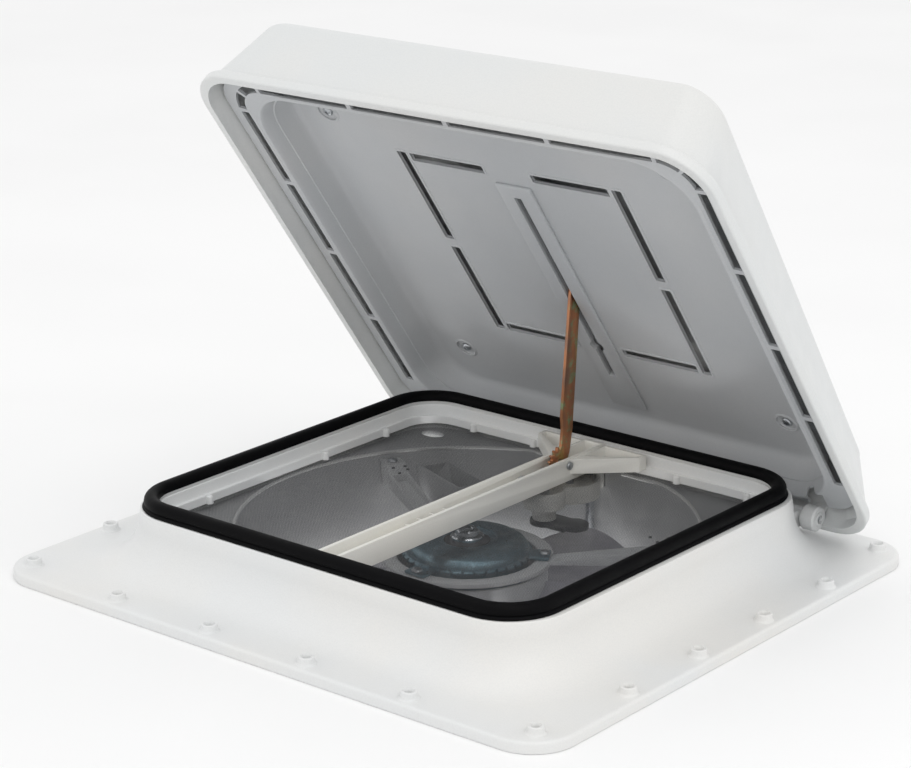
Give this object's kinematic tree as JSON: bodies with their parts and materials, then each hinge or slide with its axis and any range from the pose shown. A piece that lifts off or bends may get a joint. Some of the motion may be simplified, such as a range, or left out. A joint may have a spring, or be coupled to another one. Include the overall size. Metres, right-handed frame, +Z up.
{
  "type": "roof vent cover",
  "caption": "Square white roof vent cover with a hinged lid held open by a worm-driven arm, black rubber seal, insect screen and extractor fan in a round shroud.",
  "frame": {"origin": "centre of the fan on the roof plane, which is the underside of the flange's rim", "axes": "+X along the hinge line to the right seen from the front, +Y towards the hinge, +Z up out of the roof"},
  "size_m": [0.4972, 0.4538, 0.4684],
  "materials": {
    "white_plastic": "fine satin moulding",
    "warm_white_plastic": "satin moulding",
    "liner_plastic": "satin moulding",
    "seal_rubber": "satin rubber",
    "screen_mesh": "woven mesh, coated",
    "grey_plastic": "satin moulding",
    "smoke_plastic": "smoke-tinted moulding",
    "motor_steel": "blue zinc plate",
    "zinc_steel": "zinc plate",
    "yellow_zinc_steel": "yellow dichromate zinc",
    "black_plastic": "satin moulding",
    "natural_plastic": "moulded gear resin"
  },
  "bodies": {
    "base": {"base_frame": "white_plastic", "weather_seal": "seal_rubber", "screen_frame": "white_plastic", "insect_screen": "screen_mesh", "crossbar": "warm_white_plastic", "gear_tray": "warm_white_plastic", "worm_end_cap": "black_plastic", "fan_shroud": "grey_plastic", "motor_bracket": "grey_plastic", "motor_can": "motor_steel", "wiring_box": "grey_plastic", "bracket_screw_1": "zinc_steel", "bracket_screw_2": "zinc_steel", "bracket_screw_3": "zinc_steel", "motor_screw_1": "zinc_steel", "motor_screw_2": "zinc_steel", "motor_screw_3": "zinc_steel", "tray_screw": "zinc_steel", "arm_pivot_pin": "zinc_steel", "idler_pin": "zinc_steel", "hinge_pin_left": "zinc_steel", "hinge_pin_right": "zinc_steel"},
    "lid": {"lid_dome": "white_plastic", "lid_liner": "liner_plastic", "lift_track": "zinc_steel", "lid_screw_1": "zinc_steel", "lid_screw_2": "zinc_steel", "lid_screw_3": "zinc_steel", "lid_screw_4": "zinc_steel"},
    "arm": {"lift_arm": "yellow_zinc_steel", "arm_guide_pin": "zinc_steel"},
    "worm": {"worm_shaft": "zinc_steel", "worm_gear": "natural_plastic"},
    "idler": {"idler_gear": "natural_plastic"},
    "crank": {"crank_pinion": "natural_plastic", "crank_shaft": "zinc_steel", "crank_knob": "warm_white_plastic"},
    "fan": {"fan_rotor": "smoke_plastic", "motor_shaft": "zinc_steel", "rotor_nut": "zinc_steel"}
  },
  "joints": [
    {"name": "lid_hinge", "type": "hinge", "parent": "base", "child": "lid", "pos_m": [0, 0.19, 0.022], "axis": [1, 0, 0], "range_deg": [0, 53.4]},
    {"name": "lift_arm_pivot", "type": "hinge", "parent": "base", "child": "arm", "pos_m": [0, 0.11, 0.048], "axis": [1, 0, 0], "range_deg": [0, 89.5]},
    {"name": "worm_turn", "type": "hinge", "parent": "base", "child": "worm", "pos_m": [0, 0.0925, 0.03], "axis": [0, 0, 1], "range_deg": [0, 1430.5]},
    {"name": "idler_turn", "type": "hinge", "parent": "base", "child": "idler", "pos_m": [0, 0.124, 0.025], "axis": [0, 0, 1], "range_deg": [-880.5, 0]},
    {"name": "crank_turn", "type": "hinge", "parent": "base", "child": "crank", "pos_m": [0, 0.15025, 0], "axis": [0, 0, 1], "range_deg": [0, 2543]},
    {"name": "fan_spin", "type": "hinge", "parent": "base", "child": "fan", "pos_m": [0, 0, 0], "axis": [0, 0, 1], "continuous": true}
  ],
  "couplings": [
    {"joint": "lift_arm_pivot", "follows": "lid_hinge", "ratio": 1.6736},
    {"joint": "worm_turn", "follows": "lid_hinge", "ratio": 26.778},
    {"joint": "idler_turn", "follows": "lid_hinge", "ratio": -16.479},
    {"joint": "crank_turn", "follows": "lid_hinge", "ratio": 47.605}
  ]
}
